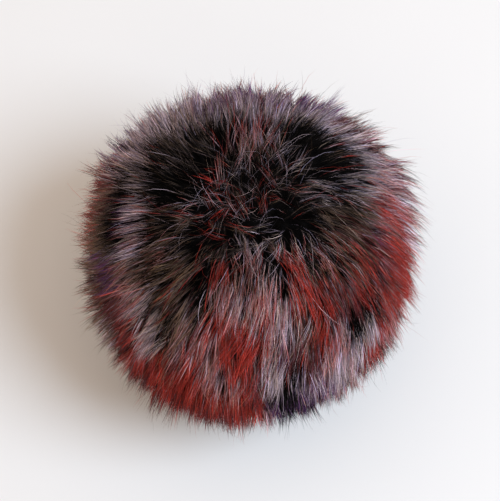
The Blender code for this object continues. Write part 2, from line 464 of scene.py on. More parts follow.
    Patch("plum", 280, -4, 7, 7, 12),
    Patch("rose", 277, -7, 5, 3, 12),
    Patch("lilac", 286, 12, 6, 3.5, 9),
    Patch("plum", 288, 8, 5, 4, 5),
    Patch("lilac", 290, 7, 6, 4, 18),
    Patch("plum", 289, -3, 7, 8, 10),
    Patch("black", 285, -4, 7, 7, 30),
    Patch("black", 284, -14, 8, 10, 8),
    Patch("plum", 294, 3, 5, 5, 2),
    Patch("rust", 269, 11, 8, 3.5, 9),
    # right of the middle
    Patch("ember", 299, 31, 8, 4, 5),
    Patch("rust", 298, 26, 9, 4, 5),
    Patch("ember", 293, 25, 9, 3, 6),
    Patch("umber", 290, 32, 10, 4, 5),
    Patch("maroon", 291, 17, 9, 3.5, 26),
    Patch("claret", 290, 14, 5, 3, 8),
    Patch("maroon", 287, 25, 8, 4, 5),
    Patch("rose", 303, 22, 8, 4, 5),
    Patch("ash", 305, 26, 8, 3, 2),
    Patch("rose", 298, 15, 8, 5, 22),
    Patch("lilac", 295, 10, 7, 3, 3),
    Patch("black", 321, 22, 6.5, 4, 15),
    Patch("maroon", 315, 28, 5, 3.5, 4),
    Patch("black", 313, 21, 7, 4, 14),
    Patch("black", 307, 20, 5, 3.5, 8),
    Patch("rose", 325, 15, 5, 4, 4),
    Patch("frost", 315, 12, 6, 4.5, 9),
    Patch("frost", 310, 12, 6, 5, 9),
    Patch("frost", 302, 6, 8, 6, 26),
    Patch("frost", 301, 8, 5, 4, 5),
    Patch("maroon", 309, 2, 6, 7, 5),
    Patch("maroon", 304, 0, 5, 6, 5),
    Patch("lilac", 299, -2, 6, 6, 4),
    # back, below the rim
    Patch("rust", 90, -2, 14, 26, 2),
    Patch("black", 125, 2, 14, 12, 2.4),
    Patch("maroon", 60, -8, 16, 18, 2),
    Patch("rust", 150, -8, 18, 16, 2.2),
    Patch("plum", 30, -14, 14, 14, 2.4),
    Patch("frost", 108, 9, 8, 7, 2.4),
    Patch("frost", 42, 0, 8, 7, 2),
    Patch("rose", 75, -24, 14, 30, 2),
)

# A strand's rings: share of its length, and share of its full width
Ring = namedtuple("Ring", "along width")
LONG_RINGS = (Ring(0.0, 0.9), Ring(0.40, 1.0), Ring(0.72, 0.66))
SHORT_RINGS = (Ring(0.0, 0.9), Ring(0.52, 0.9))
STRAY_RINGS = (Ring(0.0, 0.9), Ring(0.28, 1.0), Ring(0.52, 0.85), Ring(0.76, 0.6))
SIDES = 3
STRIP_COLUMNS = 340


# The cloth ball's measures, as shares of the solid's half width and of its height
SKIN_RADIUS_SHARE = 0.798
SKIN_HEIGHT_SHARE = 0.43
CENTRE_SHARE = 0.445
SPLAY_SHARE = 0.30


class PomPomShape(bpy.types.PropertyGroup):
    """Sizes of the ball under the fur."""

    skin_radius: bpy.props.FloatProperty(
        name="Skin radius",
        description="Radius of the cloth that the fur grows from, measured level",
        default=HALF_WIDTH * SKIN_RADIUS_SHARE,
        unit="LENGTH",
    )
    skin_half_height: bpy.props.FloatProperty(
        name="Skin half height",
        description="Half the height of the cloth ball",
        default=HEIGHT * SKIN_HEIGHT_SHARE,
        unit="LENGTH",
    )
    centre_height: bpy.props.FloatProperty(
        name="Centre height",
        description="Height of the ball's centre over the floor",
        default=HEIGHT * CENTRE_SHARE,
        unit="LENGTH",
    )
    splay_height: bpy.props.FloatProperty(
        name="Splay height",
        description="From here down to the floor the strands spread outwards",
        default=HEIGHT * SPLAY_SHARE,
        unit="LENGTH",
    )


class PomPomFur(bpy.types.PropertyGroup):
    """How much fur there is, and how it is combed."""

    long_coats: bpy.props.IntProperty(
        name="Long coats", description="Pieces that the long strands are made in", default=2, min=1
    )
    long_strands: bpy.props.IntProperty(
        name="Long strands", description="Strands in each long coat", default=12900, min=1
    )
    short_coats: bpy.props.IntProperty(
        name="Short coats", description="Pieces that the shorter strands are made in", default=3, min=1
    )
    short_strands: bpy.props.IntProperty(
        name="Short strands", description="Strands in each short coat", default=19500, min=1
    )
    stray_strands: bpy.props.IntProperty(
        name="Stray strands", description="Single strands that leave the nap", default=2200, min=1
    )
    tufts: bpy.props.IntProperty(
        name="Tufts", description="Small groups whose tips draw together", default=6000, min=10
    )
    locks: bpy.props.IntProperty(
        name="Locks", description="Larger groups of tufts that lie alike", default=420, min=10
    )
    width: bpy.props.FloatProperty(
        name="Strand width",
        description="Thickness of a strand at its widest",
        default=0.175 * MM,
        unit="LENGTH",
    )
    gather: bpy.props.FloatProperty(
        name="Gather",
        description="How strongly the tips of a tuft are drawn to its middle",
        default=1.0,
        min=0.0,
        max=2.0,
    )
    seed: bpy.props.IntProperty(name="Seed", description="Start of the chance numbers", default=5)


def colour_property(name, description, default):
    return bpy.props.FloatVectorProperty(
        name=name, description=description, default=default, size=3, subtype="COLOR", min=0, max=1
    )


class PomPomDyes(bpy.types.PropertyGroup):
    """Colours of the fur."""

    rust: colour_property("Rust", "Bright reddish tips", (0.395, 0.040, 0.030))
    pink: colour_property("Pink", "Thinly dyed reddish tips", (0.47, 0.165, 0.160))
    maroon: colour_property("Maroon", "Dark red tips", (0.130, 0.030, 0.034))
    plum: colour_property("Plum", "Dark purple tips", (0.120, 0.044, 0.145))
    brown: colour_property("Brown", "Warm brown tips", (0.215, 0.130, 0.092))
    ash: colour_property("Ash", "Pinkish grey tips", (0.225, 0.175, 0.205))
    pale: colour_property("Pale", "Undyed tips", (0.67, 0.525, 0.585))
    black: colour_property("Black", "Black strands", (0.0016, 0.0015, 0.0018))
    root: colour_property("Root", "Dark roots of every strand", (0.0022, 0.0018, 0.0018))


class PomPomStage(bpy.types.PropertyGroup):
    """Floor, light and camera."""

    floor: colour_property("Floor", "Pale floor", (0.84, 0.83, 0.83))
    daylight: bpy.props.FloatProperty(
        name="Daylight", description="Power of the soft key light", default=30.0, min=0, unit="POWER"
    )
    room: bpy.props.FloatProperty(
        name="Room light", description="Strength of the light from all round", default=0.70, min=0
    )
    distance: bpy.props.FloatProperty(
        name="Camera distance", description="From the ball's centre", default=0.55, unit="LENGTH"
    )
    elevation: bpy.props.FloatProperty(
        name="Camera elevation",
        description="Angle of the camera over the floor",
        default=math.radians(65),
        subtype="ANGLE",
    )


# --- Directions, skin and swells ---------------------------------------------------------------------


def unit(vectors):
    return vectors / np.maximum(np.linalg.norm(vectors, axis=-1, keepdims=True), 1e-12)


def smooth(share):
    share = np.clip(share, 0.0, 1.0)
    return share * share * (3 - 2 * share)


def direction(bearing, height):
    """A unit vector from angles in degrees."""
    bearing, height = math.radians(bearing), math.radians(height)
    return np.array(
        (math.cos(height) * math.cos(bearing), math.cos(height) * math.sin(bearing), math.sin(height))
    )


def spread_ways(count, chance, mess=0.6):
    """Directions spread evenly over the ball by a spiral, each moved a little at random."""
    index = np.arange(count) + 0.5
    level = 1 - 2 * index / count
    ring = np.sqrt(1 - level * level)
    turn = index * GOLDEN_TURN
    ways = np.stack((ring * np.cos(turn), ring * np.sin(turn), level), axis=1)
    spacing = math.sqrt(4 * math.pi / count)
    return unit(ways + chance.normal(0, mess * spacing / 2, ways.shape))


def nearness(ways, place):
    """1 at the middle of a swell or sweep, 0 from its reach on."""
    apart = np.arccos(np.clip(ways @ direction(place.bearing, place.height), -1, 1))
    return smooth(1 - apart / math.radians(place.reach))


def swell_at(ways):
    """How far the cloth stands out from its even form."""
    return sum(swell.rise * MM * nearness(ways, swell) for swell in SWELLS)


def sweep_at(ways):
    """How far the nap is turned aside, in radians."""
    return sum(math.radians(sweep.turn) * nearness(ways, sweep) for sweep in SWEEPS)


def skin_places(ways, shape):
    """Points on the cloth that the fur grows from."""
    half = np.array((shape.skin_radius, shape.skin_radius, shape.skin_half_height))
    places = ways * half + UP * shape.centre_height
    return places + ways * swell_at(ways)[:, None]


def skin_normals(ways, shape):
    """The ways that the cloth faces."""
    half = np.array((shape.skin_radius, shape.skin_radius, shape.skin_half_height))
    return unit(ways / half)


def nearest(points, centres):
    """For each point the index of the nearest centre."""
    tree = kdtree.KDTree(len(centres))
    for index, centre in enumerate(centres):
        tree.insert(centre, index)
    tree.balance()
    return np.array([tree.find(point)[1] for point in points])


# --- Combing -----------------------------------------------------------------------------------------

WHORL_REACH = 22  # degrees from the crown within which the nap has no direction
WHORL_EDGE = 1.25  # share of that reach at which the nap has its full direction
WHORL_LEAN = math.radians(16)  # how far the leans of tufts differ there
WHORL_THIN = 0.45  # share by which the strands are thinner there
WHORL_CURL = 1.0  # share by which they are more curled there
SPLAY_DROOP = 0.30  # how steeply the strands near the floor point down to it
FLOOR_GAP = 0.3 * MM  # the lowest strands lie from here
FLOOR_LAYER = 2.2 * MM  # up to here over the floor
LEAN_EARLY = 0.8  # under 1 where a strand bends over early along its length
MOST_CHANCE = 2.2  # no strand differs more than this many times the usual

# How far neighbours differ: turn, lean and curl (the turn from root to tip) in degrees, length as a share
Variety = namedtuple("Variety", "turn lean curl length")
OF_LOCK = Variety(turn=9, lean=5, curl=8, length=0.06)
OF_TUFT = Variety(turn=8, lean=8, curl=14, length=0.09)
OF_STRAY = Variety(turn=24, lean=14, curl=50, length=0.14)
STRAY_LONGER = 0.13

# A guide is the middle line of a tuft. gather is how far its tips draw together, loose is 1 in the whorl,
# and pick and shade are chance numbers that choose its dye
Guides = namedtuple("Guides", "paths sideways lengths gather loose pick shade")


def nap_column(from_crown, name):
    """One column of the nap's table at these angles from the crown."""
    angles = [row.from_crown for row in NAP]
    values = [getattr(row, name) for row in NAP]
    return np.interp(from_crown, angles, values)


def varied(variety, count, chance):
    """Chance changes of turn, lean and curl, in radians, and of length."""
    most = (*(math.radians(angle) for angle in variety[:3]), variety.length)
    return [np.clip(chance.normal(0, 1, count), -MOST_CHANCE, MOST_CHANCE) * scale for scale in most]


def comb(ways, change, shape, chance):
    """Grows one guide from the skin in each of these ways. change is its turn, lean, curl and length."""
    count = len(ways)
    turn, lean_change, curl, longer = change
    normals = skin_normals(ways, shape)
    from_crown = np.degrees(np.arccos(np.clip(normals[:, 2], -1, 1)))
    downhill = unit(np.cross(np.cross(UP, normals), normals))
    aside = np.cross(normals, downhill)
    loose = smooth(WHORL_EDGE - from_crown / WHORL_REACH)
    curl = curl * (1 + WHORL_CURL * loose)
    turn = turn + sweep_at(normals) + loose * chance.uniform(-math.pi, math.pi, count)
    lean_change = lean_change - normals[:, 1] * FRONT_LEAN + loose * chance.normal(0, WHORL_LEAN, count)
    root_lean = np.radians(nap_column(from_crown, "root_lean")) + lean_change
    tip_lean = np.radians(nap_column(from_crown, "tip_lean")) + lean_change
    length = nap_column(from_crown, "length") * MM * (1 + longer)

    place = skin_places(ways, shape)
    near_floor = smooth(1 - place[:, 2] / shape.splay_height)[:, None]
    level = unit(normals * (1, 1, 0)) - UP * SPLAY_DROOP
    layer = chance.uniform(FLOOR_GAP, FLOOR_LAYER, count)
    paths = [place.copy()]
    for step in range(PATH_STEPS):
        share = ((step + 0.5) / PATH_STEPS) ** LEAN_EARLY
        heading = (turn + curl * (share - 0.5))[:, None]
        nap = downhill * np.cos(heading) + aside * np.sin(heading)
        lean = (root_lean + (tip_lean - root_lean) * share)[:, None]
        way = normals * np.cos(lean) + nap * np.sin(lean)
        way = unit(way * (1 - near_floor) + unit(level) * near_floor)
        place = place + way * (length / PATH_STEPS)[:, None]
        place[:, 2] = np.maximum(place[:, 2], layer)
        paths.append(place.copy())
    sideways = np.cross(normals, nap)
    pick, shade = chance.random(count), chance.normal(0, 1, count)
    gather = nap_column(from_crown, "gather")
    return Guides(np.stack(paths, axis=1), sideways, length, gather, loose, pick, shade)


def comb_tufts(shape, fur):
    """The middle line of every tuft, from the skin to its tip."""
    chance = np.random.default_rng(fur.seed)
    ways = spread_ways(fur.tufts, chance)
    lock = nearest(ways, spread_ways(fur.locks, chance))
    of_lock = varied(OF_LOCK, fur.locks, chance)
    of_tuft = varied(OF_TUFT, fur.tufts, chance)
    change = [by_lock[lock] + by_tuft for by_lock, by_tuft in zip(of_lock, of_tuft)]
    return comb(ways, change, shape, chance)


def along_guides(guides, which, shares):
    """Points on these guides, at these shares of their length."""
    step = np.clip(shares, 0, 1) * PATH_STEPS
    low = np.minimum(step.astype(int), PATH_STEPS - 1)
    part = (step - low)[..., None]
    rows = np.arange(len(which))[:, None]
    paths = guides.paths[which]
    return paths[rows, low] * (1 - part) + paths[rows, low + 1] * part


GATHER_LATE = 1.2  # over 1 where a tuft's strands draw together late along their length
STIR = 0.6  # share of a strand's bend by which it also wanders every way
BEND_POWER = 2  # a strand bends aside mostly near its tip
STIR_POWER = 1.5


def comb_strands(ways, guides, shape, fur, chance, rings, reach, mess):
    """Where each strand's rings and tip are, and its tuft. reach is its share of the tuft's length."""
    roots = skin_places(ways, shape)
    tuft = nearest(roots, guides.paths[:, 0])
    shares = np.array([ring.along for ring in rings] + [1.0])
    line = along_guides(guides, tuft, shares[None, :] * reach[:, None])
    apart = roots - guides.paths[tuft, 0]
    gathered = fur.gather * guides.gather[tuft][:, None] * (shares[None, :] * reach[:, None]) ** GATHER_LATE
    places = line + apart[:, None, :] * (1 - gathered)[..., None]
    length = guides.lengths[tuft] * reach
    sideways = guides.sideways[tuft]
    bend = chance.normal(0, mess, len(ways)) * length
    places += sideways[:, None, :] * bend[:, None, None] * (shares**BEND_POWER)[None, :, None]
    stir = chance.normal(0, mess * STIR, (len(ways), 3)) * length[:, None]
    places += stir[:, None, :] * (shares**STIR_POWER)[None, :, None]
    return places, tuft


# --- Dyeing ------------------------------------------------------------------------------------------


def patch_weight(patch, ways):
    """How strongly a patch dyes strands whose tips lie this way."""
    middle = direction(patch.bearing, patch.height)
    across = np.array((-math.sin(math.radians(patch.bearing)), math.cos(math.radians(patch.bearing)), 0))
    along = np.cross(middle, across)
    down = ways @ along / math.sin(math.radians(patch.along))
    aside = ways @ across / math.sin(math.radians(patch.across))
    weight = patch.strength * smooth(PATCH_EDGE - np.sqrt(down**2 + aside**2))
    return weight * (ways @ middle > 0)


FOLLOW_TUFT = 0.45  # share of the strands that take the dye that their tuft takes
TUFT_SHADE = 0.6  # how far a tuft's own shade goes beside its strands'
STRAY_RECIPES = ("ash", "frost", "frost", "deep_rust", "umber")
WHORL_DYES = 6  # how many times more often stray dyes turn up in the whorl
# How far strands of one recipe differ from it, and how far their tints differ
RECIPE_CHANCE = {"middle": 0.10, "root_end": 0.06, "tip_start": 0.08}
TINT_CHANCE = 0.25


def dye_strands(places, guides, tuft, shape, chance, any_dye):
    """Chooses a recipe for each strand by where its tip lies. Returns the strands' finish.

    any_dye is the strength of the dyes that stray hairs have anywhere, and more so in the whorl.
    """
    ways = unit(places[:, -1] - UP * shape.centre_height)
    weights = [patch_weight(patch, ways) for patch in PATCHES]
    weights += [np.full(len(ways), BASE_STRENGTH / len(BASE_RECIPES)) for _ in BASE_RECIPES]
    any_dye = any_dye * (1 + WHORL_DYES * guides.loose[tuft])
    weights += [any_dye / len(STRAY_RECIPES) for _ in STRAY_RECIPES]
    names = [patch.recipe for patch in PATCHES] + [*BASE_RECIPES, *STRAY_RECIPES]
    recipes = [RECIPES[name] for name in names]
    total = np.cumsum(np.stack(weights, axis=1), axis=1)
    count = len(ways)
    follows = chance.random(count) < FOLLOW_TUFT
    draw = np.where(follows, guides.pick[tuft], chance.random(count))
    pick = (total < draw[:, None] * total[:, -1:]).sum(axis=1)
    finish = {"dye": (np.array([DYES.index(recipe.dye) for recipe in recipes])[pick] + 0.5) / len(DYES)}
    for name, spread in RECIPE_CHANCE.items():
        usual = np.array([getattr(recipe, name) for recipe in recipes])[pick]
        finish[name] = usual + chance.normal(0, spread, count)
    finish["shade"] = chance.normal(0, 1, count) + guides.shade[tuft] * TUFT_SHADE
    finish["tint"] = chance.normal(0.5, TINT_CHANCE, count)
    return finish


# --- Meshes ------------------------------------------------------------------------------------------


def strand_corners(places, sideways, widths, rings, chance):
    """Three corners round each ring and one at the tip."""
    count = len(places)
    spin = chance.uniform(0, math.tau, count)
    corners = np.zeros((count, len(rings) * SIDES + 1, 3))
    for number, ring in enumerate(rings):
        before = places[:, max(number - 1, 0)]
        forward = unit(places[:, number + 1] - before)
        across = unit(np.cross(sideways, forward))
        upward = np.cross(forward, across)
        for side in range(SIDES):
            angle = (spin + math.tau * side / SIDES)[:, None]
            round_way = across * np.cos(angle) + upward * np.sin(angle)
            offset = round_way * (widths * ring.width / 2)[:, None]
            corners[:, number * SIDES + side] = places[:, number] + offset
    corners[:, -1] = places[:, -1]
    return corners


def corner_shares(rings):
    """The share of the strand's length at each of its corners."""
    return np.array([ring.along for ring in rings for _ in range(SIDES)] + [1.0])


def strand_faces(rings):
    """The triangles of one strand, as indices of its corners."""
    faces = []
    for number in range(len(rings) - 1):
        for side in range(SIDES):
            here, there = number * SIDES + side, number * SIDES + (side + 1) % SIDES
            faces += [(here, there, there + SIDES), (here, there + SIDES, here + SIDES)]
    last, tip = (len(rings) - 1) * SIDES, len(rings) * SIDES
    faces += [(last + side, last + (side + 1) % SIDES, tip) for side in range(SIDES)]
    return np.array(faces)


# Each strand's strip of the bake map, as shares of its cell: where its three sides and its tip stand
# across it, how much of its height the strand takes, and where the root is
STRIP_SIDES = (0.08, 0.92, 0.5)
STRIP_TIP = 0.5
STRIP_LENGTH = 0.92
STRIP_ROOT = 0.04


def strip_places(count, rings):
    """A strip of the bake map for each strand: the sides share its width, and its length runs up."""
    rows = math.ceil(count / STRIP_COLUMNS)
    number = np.arange(count)
    column, row = number % STRIP_COLUMNS, number // STRIP_COLUMNS
    side = np.array([*STRIP_SIDES * len(rings), STRIP_TIP])
    along = corner_shares(rings) * STRIP_LENGTH + STRIP_ROOT
    u = (column[:, None] + side[None, :]) / STRIP_COLUMNS
    v = (row[:, None] + along[None, :]) / rows
    return np.stack((u, v), axis=2)


def fur_piece(name, corners, rings, finish, material):
    """One mesh that holds all these strands."""
    count, each = corners.shape[:2]
    faces = (strand_faces(rings)[None] + np.arange(count)[:, None, None] * each).reshape(-1, 3)
    mesh = bpy.data.meshes.new(name)
    mesh.vertices.add(count * each)
    mesh.vertices.foreach_set("co", corners.ravel())
    mesh.loops.add(faces.size)
    mesh.loops.foreach_set("vertex_index", faces.ravel())
    mesh.polygons.add(len(faces))
    mesh.polygons.foreach_set("loop_start", np.arange(0, faces.size, 3))
    mesh.update(calc_edges=True)
    mesh.shade_smooth()
    layer = mesh.uv_layers.new(name="OFBake")
    places = strip_places(count, rings).reshape(-1, 2)[faces.ravel()]
    layer.uv.foreach_set("vector", places.ravel())
    values = {"along": np.tile(corner_shares(rings), count)}
    values |= {key: np.repeat(value, each) for key, value in finish.items()}
    for key, value in values.items():
        mesh.attributes.new(key, "FLOAT", "POINT").data.foreach_set("value", value.astype(np.float32))
    mesh.materials.append(material)
    return dress(bpy.data.objects.new(name, mesh))


def dress(piece):
    """Puts a finished piece on the pom pom in place of its solid."""
    bpy.context.scene.collection.objects.link(piece)
    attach(piece, "root")
    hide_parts("fur_ball")
    return piece


# --- Materials ---------------------------------------------------------------------------------------


def add_node(tree, kind, **sockets):
    """A new node. A socket's name is given with underscores in place of its spaces."""
    node = tree.nodes.new(kind)
    for name, value in sockets.items():
        node.inputs[name.replace("_", " ")].default_value = value
    return node


def math_node(tree, operation, first, second):
    node = tree.nodes.new("ShaderNodeMath")
    node.operation = operation
    for socket, value in zip(node.inputs, (first, second)):
        if isinstance(value, (int, float)):
            socket.default_value = value
        else:
            tree.links.new(value, socket)
    return node.outputs[0]


def border(tree, along, start, width):
    """0 before the border, 1 after it."""
    node = tree.nodes.new("ShaderNodeMapRange")
    node.interpolation_type = "SMOOTHSTEP"
    tree.links.new(along, node.inputs["Value"])
    tree.links.new(start, node.inputs["From Min"])
    tree.links.new(math_node(tree, "ADD", start, width), node.inputs["From Max"])
    return node.outputs["Result"]


def mix_colours(tree, share, first, second):
    """The first colour at 0, the second at 1."""
    node = tree.nodes.new("ShaderNodeMix")
    node.data_type = "RGBA"
    tree.links.new(share, node.inputs["Factor"])
    tree.links.new(first, node.inputs["A"])
    tree.links.new(second, node.inputs["B"])
    return node.outputs["Result"]


def ramp(tree, value, stops, interpolation="LINEAR"):
    """stops is a list of places and colours, from 0 to 1."""
    node = tree.nodes.new("ShaderNodeValToRGB")
    node.color_ramp.interpolation = interpolation
    elements = node.color_ramp.elements
    while len(elements) < len(stops):
        elements.new(1.0)
    for element, (place, colour) in zip(elements, stops):
        element.position = place
        element.color = (*colour, 1.0)
    tree.links.new(value, node.inputs["Fac"])
    return node.outputs["Color"]


# No two strands take the dye alike: what a strand's colour is multiplied by at most
OLIVE_TINT = (1.02, 1.0, 0.72)
NO_TINT = (1.0, 1.0, 1.0)
BLUISH_TINT = (0.86, 0.98, 1.24)
SHADE_STEP = 1.36  # a strand one step lighter is this many times as bright
# A strand's middle goes from black over brown and mauve to nearly undyed and undyed
BLACK_MIDDLE = (0.004, 0.0035, 0.004)
BROWN_MIDDLE = (0.066, 0.048, 0.039)
MAUVE_MIDDLE = (0.245, 0.180, 0.186)
NEARLY_UNDYED = 0.75
MIDDLE_STAIN = 0.25  # share of the tip's dye that has run into the pale middle
# Shares of the strand's length over which the colours change
ROOT_BORDER = 0.22
TIP_BORDER = 0.20


PILE_INPUTS = ("Along", "Dye", "Middle", "Root end", "Tip start", "Shade", "Tint")


def dyed_pile_group(dyes):
    """Node group that colours a strand from its root to its tip."""
    group = bpy.data.node_groups.new("Dyed pile", "ShaderNodeTree")
    for name in PILE_INPUTS:
        group.interface.new_socket(name, in_out="INPUT", socket_type="NodeSocketFloat")
    group.interface.new_socket("Colour", in_out="OUTPUT", socket_type="NodeSocketColor")
    given = group.nodes.new("NodeGroupInput").outputs
    result = group.nodes.new("NodeGroupOutput").inputs
    root = add_node(group, "ShaderNodeRGB")
    root.outputs[0].default_value = (*dyes.root, 1.0)
    pale = tuple(dyes.pale)
    middles = [
        (0.0, BLACK_MIDDLE),
        (0.25, BROWN_MIDDLE),
        (0.55, MAUVE_MIDDLE),
        (0.80, tuple(NEARLY_UNDYED * part for part in pale)),
        (1.0, pale),
    ]
    middle = ramp(group, given["Middle"], middles)
    stops = [(index / len(DYES), tuple(getattr(dyes, dye))) for index, dye in enumerate(DYES)]
    tip = ramp(group, given["Dye"], stops, "CONSTANT")
    after_root = border(group, given["Along"], given["Root end"], ROOT_BORDER)
    in_tip = border(group, given["Along"], given["Tip start"], TIP_BORDER)
    stain = add_node(group, "ShaderNodeValue")
    stain.outputs[0].default_value = MIDDLE_STAIN
    stained = mix_colours(group, stain.outputs[0], middle, tip)
    colour = mix_colours(group, after_root, root.outputs[0], stained)
    colour = mix_colours(group, in_tip, colour, tip)
    scale = math_node(group, "POWER", SHADE_STEP, given["Shade"])
    tint = ramp(group, given["Tint"], [(0.0, OLIVE_TINT), (0.5, NO_TINT), (1.0, BLUISH_TINT)])
    tinted = group.nodes.new("ShaderNodeVectorMath")
    tinted.operation = "MULTIPLY"
    group.links.new(colour, tinted.inputs[0])
    group.links.new(tint, tinted.inputs[1])
    shaded = group.nodes.new("ShaderNodeVectorMath")
    shaded.operation = "SCALE"
    group.links.new(tinted.outputs[0], shaded.inputs[0])
    group.links.new(scale, shaded.inputs["Scale"])
    group.links.new(shaded.outputs[0], result["Colour"])
    return group


def attribute(tree, name):
    """A value that the strands' corners carry."""
    node = tree.nodes.new("ShaderNodeAttribute")
    node.attribute_name = name
    return node.outputs["Fac"]


def new_finish(name, specular):
    """A new material, its node tree and its shader."""
    material = bpy.data.materials.new(name)
    material.use_nodes = True
    shader = material.node_tree.nodes["Principled BSDF"]
    shader.inputs["Specular IOR Level"].default_value = specular
    return material, material.node_tree, shader


def set_roughness(tree, shader, value, at_0, at_1):
    """Makes the roughness go from one amount to another as a value goes from 0 to 1."""
    node = add_node(tree, "ShaderNodeMapRange", To_Min=at_0, To_Max=at_1)
    tree.links.new(value, node.inputs["Value"])
    tree.links.new(node.outputs["Result"], shader.inputs["Roughness"])


def speckle(tree, **sockets):
    """A fine noise that stays with the piece."""
    place = tree.nodes.new("ShaderNodeTexCoord")
    noise = add_node(tree, "ShaderNodeTexNoise", **sockets)
    tree.links.new(place.outputs["Object"], noise.inputs["Vector"])
    return noise.outputs["Fac"]


def strand_finish(name):
    """Material of strands: coloured along their length, smoother towards the tip."""
    material, tree, shader = new_finish(name, specular=0.045)
    pile = tree.nodes.new("ShaderNodeGroup")
    pile.node_tree = dyed_pile_group(bpy.context.scene.pompom_dyes)
    for socket in PILE_INPUTS:
        key = socket.lower().replace(" ", "_")
        tree.links.new(attribute(tree, key), pile.inputs[socket])
    tree.links.new(pile.outputs["Colour"], shader.inputs["Base Color"])
    set_roughness(tree, shader, attribute(tree, "along"), at_0=0.85, at_1=0.5)
    return material


def cloth_and_shade_finish(dyes):
    """The dark woven backing, which shows only in the deepest partings. Its near-black is partly the
    cloth's own dark and partly painted shade for the depth of the pile.
    """
    material, tree, shader = new_finish("backing_cloth", specular=0.15)
    grain = speckle(tree, Scale=1400.0, Detail=4.0, Roughness=0.6)
    # near-black grain: the cloth's own dark together with painted shade of the deep pile
    dark = tuple(0.6 * part for part in dyes.root)
    light = tuple(2.6 * part for part in dyes.root)
    tree.links.new(ramp(tree, grain, [(0.35, dark), (0.7, light)]), shader.inputs["Base Color"])
    set_roughness(tree, shader, grain, at_0=0.82, at_1=0.98)
    bump = add_node(tree, "ShaderNodeBump", Strength=0.6, Distance=0.4 * MM)
    tree.links.new(grain, bump.inputs["Height"])
    tree.links.new(bump.outputs["Normal"], shader.inputs["Normal"])
    return material


def floor_finish(colour):
    """The pale floor, very slightly mottled."""
    material, tree, shader = new_finish("pale_floor", specular=0.1)
    mottle = speckle(tree, Scale=9.0, Detail=3.0)
    darker = tuple(0.985 * part for part in colour)
    tree.links.new(ramp(tree, mottle, [(0.3, darker), (0.7, colour)]), shader.inputs["Base Color"])
    set_roughness(tree, shader, mottle, at_0=0.7, at_1=0.85)
    return material


# --- Operators ---------------------------------------------------------------------------------------


def settings(context):
    scene = context.scene
    return scene.pompom_shape, scene.pompom_fur


UNDER_ROOTS = 0.3 * MM  # the core lies this far inside the roots
CORE_REST = 0.4 * MM  # and this far over the floor


class POMPOM_OT_stuffed_core(bpy.types.Operator):
    """Make the stuffed ball of backing cloth that the fur grows from"""

    bl_idname = "pompom.stuffed_core"
    bl_label = "Stuffed core"

    def execute(self, context):
        shape, _ = settings(context)
        bpy.ops.mesh.primitive_ico_sphere_add(subdivisions=5, radius=1)
        core = context.active_object
        core.name = core.data.name = "stuffed_core"
        corners = np.zeros(len(core.data.vertices) * 3)
        core.data.vertices.foreach_get("co", corners)
        ways = unit(corners.reshape(-1, 3))
        places = skin_places(ways, shape)
        places -= ways * UNDER_ROOTS
        places[:, 2] = np.maximum(places[:, 2], CORE_REST)
        core.data.vertices.foreach_set("co", places.ravel())
        core.data.shade_smooth()
        core.data.update()
        core.data.materials.append(cloth_and_shade_finish(context.scene.pompom_dyes))
        for collection in list(core.users_collection):
            collection.objects.unlink(core)
        dress(core)
        return {"FINISHED"}


WIDTHS = (0.65, 1.25)  # the thinnest and thickest strands, as shares of the usual width


def place_strands(name, places, guides, tuft, rings, chance, width_share=1.0, any_dye=0.0):
    """Gives the strands their dyes and widths and makes them one piece."""
    shape, fur = settings(bpy.context)
    finish = dye_strands(places, guides, tuft, shape, chance, any_dye)
    widths = fur.width * width_share * chance.uniform(*WIDTHS, len(places))
    widths *= 1 - WHORL_THIN * guides.loose[tuft]
    places[..., 2] = np.maximum(places[..., 2], widths.max() / 2)
    corners = strand_corners(places, guides.sideways[tuft], widths, rings, chance)
    material = bpy.data.materials.get("long_pile") or strand_finish("long_pile")
    return fur_piece(name, corners, rings, finish, material)


# A coat's rings, the least and most reach of its strands along their tuft, and how unruly they are
Coat = namedtuple("Coat", "name rings least most mess")
ROOT_MESS = 1.2  # how unevenly the roots stand
LONG_COAT = Coat(name="long_fur", rings=LONG_RINGS, least=0.72, most=1.0, mess=0.045)
SHORT_COAT = Coat(name="short_fur", rings=SHORT_RINGS, least=0.40, most=0.86, mess=0.06)


def grow_coat(coat, number, strands, guides, shape, fur):
    """Grows one piece of a coat."""
    chance = np.random.default_rng((fur.seed, len(coat.rings), number))
    ways = spread_ways(strands, chance, ROOT_MESS)
    reach = chance.uniform(coat.least, coat.most, strands)
    places, tuft = comb_strands(ways, guides, shape, fur, chance, coat.rings, reach, coat.mess)
    place_strands(f"{coat.name}_{number}", places, guides, tuft, coat.rings, chance)


class POMPOM_OT_long_fur(bpy.types.Operator):
    """Grow the coats of long strands, combed along the nap"""

    bl_idname = "pompom.long_fur"
    bl_label = "Long fur"

    def execute(self, context):
        shape, fur = settings(context)
        guides = comb_tufts(shape, fur)
        for number in range(fur.long_coats):
            grow_coat(LONG_COAT, number + 1, fur.long_strands, guides, shape, fur)
        return {"FINISHED"}


class POMPOM_OT_short_fur(bpy.types.Operator):
    """Grow the coats of shorter strands, which fill the fur between the long ones"""

    bl_idname = "pompom.short_fur"
    bl_label = "Short fur"

    def execute(self, context):
        shape, fur = settings(context)
        guides = comb_tufts(shape, fur)
        for number in range(fur.short_coats):
            grow_coat(SHORT_COAT, number + 1, fur.short_strands, guides, shape, fur)
        return {"FINISHED"}


STRAY_MESS = 1.5
STRAY_SEED = 200
STRAY_WIDTH = 0.50  # share of the usual width
STRAY_DYES = 0.7  # strength of the dyes that stray hairs have anywhere
CROWN_EVERY = 3  # one stray hair in this many stands near the crown
CROWN_REACH = math.radians(30)


